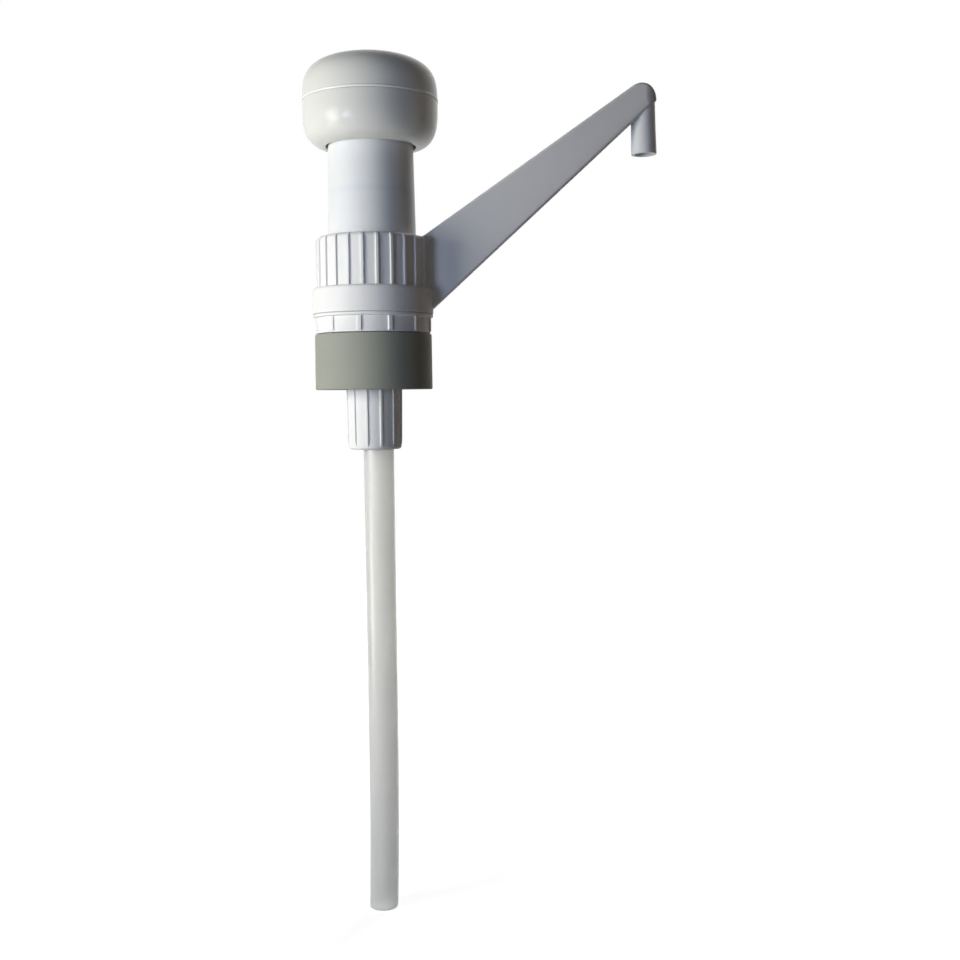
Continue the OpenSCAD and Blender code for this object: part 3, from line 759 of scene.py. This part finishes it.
def outline_distance(r, z):
    """Distance of a point from the housing's turned outline, negative inside the material."""
    nearest = math.inf
    inside = False
    for i, (r_a, z_a) in enumerate(HOUSING_OUTLINE):
        r_b, z_b = HOUSING_OUTLINE[i - 1]
        along = Vector((r_b - r_a, z_b - z_a))
        away = Vector((r - r_a, z - z_a))
        share = min(1, max(0, away.dot(along) / max(along.length_squared, 1e-12)))
        nearest = min(nearest, (away - along * share).length)
        if (z_a > z) != (z_b > z) and r < r_a + (z - z_a) / (z_b - z_a) * (r_b - r_a):
            inside = not inside
    return -nearest if inside else nearest


def collar_distance(p):
    """Distance of a point in space from the collar and skirt."""
    return outline_distance(math.hypot(p.x, p.y), p.z)


def collar_normal(p):
    """Direction away from the collar's surface."""
    step = 0.01
    base = collar_distance(p)
    return Vector([collar_distance(p + Vector([step * (i == k) for i in range(3)])) - base
                   for k in range(3)]).normalized()


def collar_part():
    """The turned collar and skirt with the collar's upright ribs."""
    def swell(angles, radii, heights):
        shape = rib_shape(angles, COLLAR_RIBS, COLLAR_R, COLLAR_RIB_WIDTH, COLLAR_PHASE)
        outside = (radii > COLLAR_R - COLLAR_ROUND) & (radii < COLLAR_R + 0.7) & (heights > Z_COLLAR - 0.01)
        fade = ((Z_COLLAR_TOP - COLLAR_RIB_END - heights) / COLLAR_RIB_FADE).clip(0, 1) ** 0.5
        return np.where(outside, radii + shape * COLLAR_RIB_HEIGHT * fade, radii)
    angles = rib_angles(COLLAR_RIBS, COLLAR_R, COLLAR_RIB_WIDTH, COLLAR_PHASE)
    return lathe(with_steps(HOUSING_OUTLINE, longest=1.5), angles, swell)


def heading(degrees):
    """Unit direction in the arm's plane."""
    return Vector((math.cos(math.radians(degrees)), math.sin(math.radians(degrees))))


class ArmShape:
    """The arm's outside: flat sides and narrow rounded edges.

    Its end is round when seen from the front and from above.
    """

    SIDE_STEPS = 36
    EDGE_STEPS = 6
    FLAT = ARM_HALF - ARM_EDGE_R

    def __init__(self):
        self.top_way = heading(ARM_TOP_SLOPE + 90)
        self.low_way = heading(ARM_LOW_SLOPE - 90)
        middle_x = ARM_END_X - ARM_END_R
        slope = math.radians(ARM_TOP_SLOPE)
        top_z = ARM_TOP.y + (middle_x - ARM_TOP.x) * math.tan(slope)
        self.middle = Vector((middle_x, top_z - ARM_END_R / math.cos(slope)))
        self.top_start = ARM_TOP - self.top_way * ARM_EDGE_R
        self.top_end = self.middle + self.top_way * (ARM_END_R - ARM_EDGE_R)
        self.low_start = ARM_LOW - self.low_way * ARM_EDGE_R
        along = heading(ARM_LOW_SLOPE)
        reach = (ARM_END_X - ARM_EDGE_R - self.low_start.x) / along.x
        self.corner = self.low_start + along * reach
        self.low_end = self.corner - along * ARM_LOW_LEAD
        self.foremost = self.middle + Vector((ARM_END_R - ARM_EDGE_R, 0))

    def ring(self, top_middle, top_way, low_middle, low_way):
        """Points around the arm and the way that each one faces, from the middles of its edge roundings."""
        points = []
        ways = []

        def add(middle, way, y, lean):
            facing = Vector((way.x * math.sin(lean), -math.cos(lean), way.y * math.sin(lean)))
            point = Vector((middle.x, y, middle.y)) + facing * ARM_EDGE_R
            share = max(0, (point.x - ARM_PLAN_X) / ARM_PLAN_R)
            point.y *= math.sqrt(1 - share ** 2)
            points.append(point)
            ways.append(facing)

        quarter = [math.pi / 2 * k / self.EDGE_STEPS for k in range(self.EDGE_STEPS + 1)]
        for lean in quarter:
            add(top_middle, top_way, -self.FLAT, lean)
        for lean in quarter:
            add(top_middle, top_way, self.FLAT, lean + math.pi / 2)
        for k in range(1, self.SIDE_STEPS):
            add(top_middle.lerp(low_middle, k / self.SIDE_STEPS), low_way, self.FLAT, math.pi)
        for lean in reversed(quarter):
            add(low_middle, low_way, self.FLAT, lean + math.pi / 2)
        for lean in reversed(quarter):
            add(low_middle, low_way, -self.FLAT, lean)
        for k in range(1, self.SIDE_STEPS):
            add(low_middle.lerp(top_middle, k / self.SIDE_STEPS), top_way, -self.FLAT, 0)
        return points, ways

    def straight(self, share):
        """Ring at a share of the straight length, from 0 at the root to 1 where the end begins."""
        return self.ring(self.top_start.lerp(self.top_end, share), self.top_way,
                         self.low_start.lerp(self.low_end, share), self.low_way)

    def end(self, share):
        """Ring on the round end; at 1 it has shrunk to the end's foremost line."""
        top_way = heading((ARM_TOP_SLOPE + 90) * (1 - share))
        top = self.middle + top_way * (ARM_END_R - ARM_EDGE_R)
        to_corner = min(1, share / ARM_CORNER_SHARE)
        past_corner = max(0, (share - ARM_CORNER_SHARE) / (1 - ARM_CORNER_SHARE))
        low_way = heading((ARM_LOW_SLOPE - 90) * (1 - past_corner))
        low = self.low_end.lerp(self.corner, to_corner).lerp(self.foremost, past_corner)
        return self.ring(top, top_way, low, low_way)[0]


def meeting_share(at):
    """Where a line along the arm, followed from outside, meets the collar or the skirt."""
    outer = 0.25
    innermost = -0.2
    stride = 0.004
    halvings = 24
    while collar_distance(at(outer)) > 0 and outer > innermost:
        outer -= stride
    inner = outer
    outer += stride
    for _ in range(halvings):
        middle = (inner + outer) / 2
        if collar_distance(at(middle)) < 0:
            inner = middle
        else:
            outer = middle
    return outer


def root_column(here, there, way):
    """Points of one line along the arm: from inside the collar's wall over the fillet to the arm's end."""
    def at(share):
        return here + (there - here) * share
    share = meeting_share(at)
    meeting = at(share)
    normal = collar_normal(meeting)
    along = (way - normal * way.dot(normal)).normalized()
    reach = ROOT_FILLET
    if along.z < -0.05:
        reach = min(reach, max(0.4, (meeting.z - z_skirt - ROOT_ABOVE_SKIRT) / -along.z))
    if normal.z > 0.5:
        reach = min(reach, max(0.3, math.hypot(meeting.x, meeting.y) - sleeve_r - ROOT_OFF_SLEEVE))
    landing = meeting + along * reach
    landing -= collar_normal(landing) * (collar_distance(landing) + ROOT_SINK)
    leave = share + reach / (there - here).length
    begin = at(leave)
    column = [landing - normal * ROOT_DEPTH]
    for k in range(ROOT_FILLET_STEPS + 1):
        t = k / ROOT_FILLET_STEPS
        column.append(landing * (1 - t) ** 2 + meeting * (2 * t * (1 - t)) + begin * t ** 2)
    for k in range(1, ARM_STEPS + 1):
        column.append(at(leave + (1 - leave) * k / ARM_STEPS))
    return column


def arm_part():
    """The arm from its filleted root on the collar to its round end."""
    shape = ArmShape()
    start, ways = shape.straight(0)
    finish, _ = shape.straight(1)
    columns = [root_column(here, there, way) for here, there, way in zip(start, finish, ways)]
    rings = [list(ring) for ring in zip(*columns)]
    rings += [shape.end(k / ARM_END_STEPS) for k in range(1, ARM_END_STEPS + 1)]
    points, faces = rings_part(rings, closed_ends=False)
    count = len(columns)
    hub = len(points)
    points.append(ROOT_HUB)
    faces += [(hub, (k + 1) % count, k) for k in range(count)]
    return points, faces


def rod_part(start, end, radius, sides=48):
    """A straight round rod, used to cut a bore."""
    axis = (end - start).normalized()
    across = axis.orthogonal().normalized()
    beside = axis.cross(across)
    rim = [(across * math.cos(t) + beside * math.sin(t)) * radius for t in around(sides)]
    return rings_part([[start + p for p in rim], [end + p for p in rim]])


def nozzle_matrix():
    """Place of the nozzle: its upper end at the origin, its axis along Z."""
    return Matrix.Translation(NOZZLE_TOP) @ Matrix.Rotation(math.radians(-NOZZLE_LEAN), 4, "Y")


def make_housing():
    """Collar with skirt and ribs, and the arm with its valve bore, channel and nozzle socket."""
    port = Vector((PORT.x, 0, PORT.y))
    tip = Vector((ARM_TIP.x, 0, ARM_TIP.y))
    along = (tip - port).normalized()
    valve_bore = rod_part(port - along * PORT_OVERCUT, port + along * VALVE_BORE_LENGTH, VALVE_BORE_R)
    channel = rod_part(port + along * (VALVE_BORE_LENGTH - CHANNEL_OVERLAP), tip, CHANNEL_R)
    socket = rod_part(Vector((0, 0, -NOZZLE_LENGTH)), Vector((0, 0, SOCKET_DEPTH)), NOZZLE_R + NOZZLE_GAP, 96)
    obj = mesh_object("spout_housing_moulding", collar_part())
    cut(obj, valve_bore)
    arm = mesh_object("arm", arm_part())
    for bore in (valve_bore, channel, placed(socket, nozzle_matrix())):
        cut(arm, bore)
    join(obj, arm)
    piece(obj, "pump_body", "white_plastic", WARM_WHITE, "spout_housing")


def make_nozzle():
    """Short outlet tube with softly broken edges."""
    outline = rounded([(NOZZLE_BORE_R, NOZZLE_EXTRA, 0.3), (NOZZLE_R, NOZZLE_EXTRA, 0.4),
                       (NOZZLE_R, -NOZZLE_STRAIGHT, 0), (NOZZLE_END_R, -NOZZLE_LENGTH, 0.45),
                       (NOZZLE_BORE_R, -NOZZLE_LENGTH, 0.3)])
    obj = mesh_object("nozzle_tube", placed(lathe(with_steps(outline, longest=2)), nozzle_matrix()))
    piece(obj, "pump_body", "white_plastic", NOZZLE_WHITE, "nozzle")


# Union ring

def pip_part(angle, radius, z):
    """A small rounded pip that stands out from a turned surface."""
    steps = 6
    rings = []
    for k in range(steps + 1):
        swing = math.radians(90 * k / steps)
        r = radius - PIP_SINK + (PIP_SIZE.x + PIP_SINK) * math.sin(swing)
        across = PIP_SIZE.y * math.cos(swing)
        upward = PIP_SIZE.z * math.cos(swing)
        rings.append([(r, across * math.cos(t), upward * math.sin(t)) for t in around(24)])
    turn = Matrix.Translation((0, 0, z)) @ Matrix.Rotation(math.radians(angle), 4, "Z")
    return placed(rings_part(rings), turn)


def make_union_ring():
    """Ring with a lip above, small ribs around it and a pip beside one of them."""
    z_lip = z_union_top - UNION_LIP
    z_low = z_union + UNION_GAP
    outline = rounded([(UNION_BORE_R, z_low, 0.2), (UNION_R, z_low, 0.35), (UNION_R, z_lip, 0.3),
                       (union_lip_r, z_lip + 0.5, 0.3), (union_lip_r, z_union_top, 0.45),
                       (UNION_HUB_R, z_union_top, 0.3), (UNION_HUB_R, z_lip, 0.2),
                       (UNION_BORE_R, z_lip, 0.2)])

    def swell(angles, radii, heights):
        shape = rib_shape(angles, UNION_RIBS, UNION_R, UNION_RIB_WIDTH, UNION_PHASE)
        outside = (radii > UNION_R - 0.3) & (heights < z_lip - 0.02) & (heights > z_low + 0.3)
        fade = ((heights - z_low - UNION_RIB_FOOT) / UNION_RIB_FADE).clip(0, 1)
        return np.where(outside, radii + shape * UNION_RIB_HEIGHT * fade, radii)
    angles = rib_angles(UNION_RIBS, UNION_R, UNION_RIB_WIDTH, UNION_PHASE)
    ring = lathe(with_steps(outline, longest=0.8), angles, swell)
    pip = pip_part(PIP_ANGLE, UNION_R, (z_low + z_lip) / 2)
    obj = mesh_object("union_ring_moulding", ring, pip)
    piece(obj, "cap", "white_plastic", WARM_WHITE, "union_ring")


# Adapter

def thread_part():
    """The canister thread: one ridge along a helix, fading in and out at its ends."""
    steps = 72
    rings = []
    for i in range(round(THREAD_TURNS * steps) + 1):
        turn = i / steps
        from_end = min(turn, THREAD_TURNS - turn)
        height = max(0.02, THREAD_RIDGE * min(1, from_end / THREAD_FADE))
        angle = 2 * math.pi * turn
        z = THREAD_START + turn * THREAD_PITCH
        section = [(0.5, -1.3), (0, -1.1), (-0.75 * height, -0.6), (-height, -0.3), (-height, 0.3),
                   (-0.75 * height, 0.6), (0, 1.1), (0.5, 1.3)]
        rings.append([((NECK_R + r) * math.cos(angle), (NECK_R + r) * math.sin(angle), z + rise)
                      for r, rise in section])
    return rings_part(rings)


def make_adapter():
    """Matte screw adapter with the canister thread inside and a neck above."""
    outline = rounded([(NECK_R, 0, 0.4), (adapter_r, 0, 0.7), (adapter_r - ADAPTER_DRAFT, z_union, 0.6),
                       (MALE_R, z_union, 0.1), (MALE_R, z_adapter_top, 0.4),
                       (ADAPTER_HOLE_R, z_adapter_top, 0.3), (ADAPTER_HOLE_R, z_neck_seat, 0.3),
                       (NECK_R, z_neck_seat, 0.3)])
    obj = mesh_object("adapter_moulding", lathe(with_steps(outline, longest=3)), thread_part())
    piece(obj, "cap", "grey_plastic", GREY, "thread_adapter")


# Nut

def make_nut():
    """Ribbed nut with a rounded lower edge."""
    outline = rounded([(NUT_MOUTH_R, z_nut, 0.5), (NUT_LOW_R, z_nut, 2.0), (NUT_TOP_R, z_nut_top, 0.5),
                       (NUT_BORE_R, z_nut_top, 0.3), (NUT_BORE_R, Z_NUT_SEAT, 0.2),
                       (NUT_MOUTH_R, Z_NUT_SEAT, 0.2)], steps=7)

    def swell(angles, radii, heights):
        shape = rib_shape(angles, NUT_RIBS, NUT_LOW_R, NUT_RIB_WIDTH, NUT_PHASE)
        outside = (radii > NUT_LOW_R - 0.4) & (heights < z_nut_top - 0.1)
        above = ((heights - z_nut - NUT_RIB_FOOT) / NUT_RIB_FADE).clip(0, 1)
        below = ((z_nut_top - NUT_RIB_END - heights) / NUT_RIB_FADE).clip(0, 1)
        return np.where(outside, radii + shape * NUT_RIB_HEIGHT * above * below, radii)
    angles = rib_angles(NUT_RIBS, NUT_LOW_R, NUT_RIB_WIDTH, NUT_PHASE)
    obj = mesh_object("suction_nut_moulding", lathe(with_steps(outline, longest=1.2), angles, swell))
    piece(obj, "pump_body", "white_plastic", NUT_WHITE, "suction_nut")


# Dip tube

def make_tube():
    """Milky dip tube, very slightly bowed, with a softened lower end."""
    steps = 60
    length = z_tube_top - z_tube
    outside = []
    inside = []
    for k in range(steps + 1):
        share = k / steps
        x = tube_x + TUBE_BOW * share ** 2 - TUBE_BOW_BACK * share ** 5
        r = tube_r - TUBE_TAPER * share
        z = z_tube_top - length * share
        outside.append((x, r, z))
        inside.append((x, r - TUBE_WALL, z))
    x, outer, z = outside[-1]
    inner = outer - TUBE_WALL
    outside[-1] = (x, outer, z + TUBE_EDGE)
    inside[-1] = (x, inner, z + TUBE_EDGE)
    lip = [(x, outer - 0.1, z + 0.08), (x, outer - TUBE_EDGE, z),
           (x, inner + TUBE_EDGE, z), (x, inner + 0.1, z + 0.08)]
    rings = [[(x + r * math.cos(t), r * math.sin(t), z) for t in around(72)]
             for x, r, z in outside + lip + inside[::-1] + outside[:1]]
    obj = mesh_object("dip_tube_extrusion", rings_part(rings, closed_ends=False))
    piece(obj, "pump_body", "milky_plastic", MILKY, "dip_tube")


# Return spring: in the pump it presses together as the knob goes down, but this coil keeps one length

def spring_height(turn, low, high):
    """Height of the wire's middle after so many turns; the first and last turn are closed."""
    last = SPRING_TURNS - 1
    low_open = low + SPRING_CLOSED_PITCH
    high_open = high - SPRING_CLOSED_PITCH
    if turn < 1:
        return low + turn * SPRING_CLOSED_PITCH
    if turn > last:
        return high - (SPRING_TURNS - turn) * SPRING_CLOSED_PITCH
    return low_open + (turn - 1) / (last - 1) * (high_open - low_open)


def make_spring():
    """Round wire on a helix, at one fixed length."""
    wire_r = SPRING_WIRE / 2
    z_low = low_mm("return_spring").z
    z_high = high_mm("return_spring").z
    coil_r = high_mm("return_spring").x - wire_r
    steps = 48
    rings = []
    for i in range(SPRING_TURNS * steps + 1):
        turn = i / steps
        angle = 2 * math.pi * turn
        z = spring_height(turn, z_low + wire_r, z_high - wire_r)
        ring = []
        for side in around(16):
            r = coil_r + wire_r * math.cos(side)
            ring.append((r * math.cos(angle), r * math.sin(angle), z + wire_r * math.sin(side)))
        rings.append(ring)
    obj = mesh_object("return_spring_coil", rings_part(rings))
    piece(obj, "pump_body", "spring_steel", SPRING_STEEL, "return_spring")
    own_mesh(obj)


make_knob_dome()
make_knob_bowl()
make_spring()
make_sleeve()
make_housing()
make_nozzle()
make_union_ring()
make_adapter()
make_nut()
make_tube()

# Inner pieces keep their solids and get the finish of their slot

for part in frame["record"]["subparts"]:
    solid = frame["nodes"][part["node"]]
    solid.data.materials.clear()
    solid.data.materials.append(SLOT_MATERIALS[part["material_slot"]])


# Camera, light and floor: places in metres, angles in degrees, lamps in watts

CAMERA_PLACE = (0, -0.5971, -0.00279)
CAMERA_YAW = 4.971
CAMERA_PITCH = -4.085
CAMERA_ROLL = -0.531
CAMERA_LENS = 45
CAMERA_SENSOR = 36
FILL_COLOUR = (1.0, 0.75, 0.5, 1)
FILL_STRENGTH = 0.006
FLOOR_REACH = 6.0
FLOOR_GAP = 0.5 * MM
FLOOR_COLOUR = (0.3, 0.3, 0.3, 1)
FLOOR_WHITE_NEAR = 0.86
FLOOR_WHITE_FROM = 0.3
FLOOR_WHITE_AT = 0.85
LAMPS = (
    {"name": "window_lamp", "place": (-0.407, -0.192, 0.05), "target": (0, 0, 0.02), "size": (0.17, 0.21),
     "power": 1.54, "colour": (1.0, 0.95, 0.86), "in_gloss": True},
    {"name": "low_lamp", "place": (-0.5, -0.12, -0.22), "target": (0, 0, 0.02), "size": (0.2, 0.2),
     "power": 0.55, "colour": (1.0, 0.97, 0.88), "in_gloss": True},
    {"name": "sky_lamp", "place": (-0.386, -0.46, 0.02), "target": (0, 0, 0), "size": (0.1, 0.13),
     "power": 1.0, "colour": (0.59, 0.70, 0.96), "in_gloss": True},
    {"name": "front_lamp", "place": (-0.3, -0.72, 0.1), "target": (0, 0, 0), "size": (0.5, 0.5),
     "power": 0.27, "colour": (0.6, 0.75, 1.0), "in_gloss": True},
    {"name": "warm_lamp", "place": (0.9, -0.2, 0.1), "target": (0, 0, 0), "size": (0.5, 0.5),
     "power": 0.19, "colour": (1.0, 0.52, 0.2), "in_gloss": True},
    {"name": "back_lamp", "place": (0.478, 0.827, 0.694), "target": (0, 0, 0), "size": (0.4, 0.4),
     "power": 7.5, "colour": (0.95, 0.97, 1.0), "in_gloss": False},
)


def make_camera():
    """A camera near the adapter's height, turned slightly right, down and over."""
    yaw = math.radians(CAMERA_YAW)
    pitch = math.radians(CAMERA_PITCH)
    roll = math.radians(CAMERA_ROLL)
    forward = Vector((math.sin(yaw) * math.cos(pitch), math.cos(yaw) * math.cos(pitch), math.sin(pitch)))
    level = Vector((math.cos(yaw), -math.sin(yaw), 0))
    upward = level.cross(forward)
    right = level * math.cos(roll) + upward * math.sin(roll)
    up = right.cross(forward)
    data = bpy.data.cameras.new("camera")
    data.lens = CAMERA_LENS
    data.sensor_width = CAMERA_SENSOR
    data.clip_start = 0.01
    obj = bpy.data.objects.new("camera", data)
    turn = Matrix((right, up, -forward)).transposed().to_4x4()
    obj.matrix_world = Matrix.Translation(CAMERA_PLACE) @ turn
    bpy.context.scene.collection.objects.link(obj)
    bpy.context.scene.camera = obj


def make_lamp(name, place, target, size, power, colour, in_gloss):
    """A soft rectangular lamp that points at a target."""
    data = bpy.data.lights.new(name, "AREA")
    data.shape = "RECTANGLE"
    data.size, data.size_y = size
    data.energy = power
    data.color = colour
    obj = bpy.data.objects.new(name, data)
    obj.location = place
    obj.rotation_euler = (Vector(target) - Vector(place)).to_track_quat("-Z", "Y").to_euler()
    obj.visible_camera = False
    obj.visible_glossy = in_gloss
    bpy.context.scene.collection.objects.link(obj)


def seen_directly(tree):
    """1 for camera, glossy and transmission rays, 0 for rays that light the object."""
    path = tree.nodes.new("ShaderNodeLightPath")
    total = path.outputs["Is Camera Ray"]
    for other in ("Is Glossy Ray", "Is Transmission Ray"):
        total = calculated(tree, "MAXIMUM", total, path.outputs[other])
    return total


def make_world():
    """White where it is seen, and a weak warm fill where it lights."""
    world = bpy.data.worlds.new("studio")
    bpy.context.scene.world = world
    world.use_nodes = True
    tree = world.node_tree
    fill = tree.nodes["Background"]
    fill.inputs["Color"].default_value = FILL_COLOUR
    fill.inputs["Strength"].default_value = FILL_STRENGTH
    white = tree.nodes.new("ShaderNodeBackground")
    white.inputs["Color"].default_value = (1, 1, 1, 1)
    white.inputs["Strength"].default_value = 1.0
    choose = tree.nodes.new("ShaderNodeMixShader")
    tree.links.new(seen_directly(tree), choose.inputs["Fac"])
    tree.links.new(fill.outputs["Background"], choose.inputs[1])
    tree.links.new(white.outputs["Background"], choose.inputs[2])
    tree.links.new(choose.outputs["Shader"], tree.nodes["World Output"].inputs["Surface"])


def floor_material():
    """Pale and matte, so that it takes the shadow, and whiter further out where it is seen."""
    material = bpy.data.materials.new("pale_floor")
    material.use_nodes = True
    tree = material.node_tree
    tree.nodes.remove(tree.nodes["Principled BSDF"])
    matte = tree.nodes.new("ShaderNodeBsdfDiffuse")
    matte.inputs["Color"].default_value = FLOOR_COLOUR
    place = tree.nodes.new("ShaderNodeTexCoord")
    away = tree.nodes.new("ShaderNodeVectorMath")
    away.operation = "LENGTH"
    tree.links.new(place.outputs["Object"], away.inputs[0])
    whiteness = spread(tree, away.outputs["Value"], FLOOR_WHITE_NEAR, 1.0, FLOOR_WHITE_FROM, FLOOR_WHITE_AT)
    glow = tree.nodes.new("ShaderNodeEmission")
    strength = calculated(tree, "MULTIPLY", whiteness, seen_directly(tree))
    tree.links.new(strength, glow.inputs["Strength"])
    both = tree.nodes.new("ShaderNodeAddShader")
    tree.links.new(matte.outputs["BSDF"], both.inputs[0])
    tree.links.new(glow.outputs["Emission"], both.inputs[1])
    tree.links.new(both.outputs["Shader"], tree.nodes["Material Output"].inputs["Surface"])
    return material


def make_floor():
    """A wide floor just under the dip tube."""
    z = cad_low.z - FLOOR_GAP
    corners = [(x * FLOOR_REACH, y * FLOOR_REACH, z) for x, y in ((-1, -1), (1, -1), (1, 1), (-1, 1))]
    mesh = bpy.data.meshes.new("floor")
    mesh.from_pydata(corners, [], [(0, 1, 2, 3)])
    mesh.materials.append(floor_material())
    floor = bpy.data.objects.new("floor", mesh)
    bpy.context.scene.collection.objects.link(floor)


make_camera()
make_world()
make_floor()
for lamp in LAMPS:
    make_lamp(**lamp)

scene = bpy.context.scene
scene.view_settings.view_transform = "Standard"
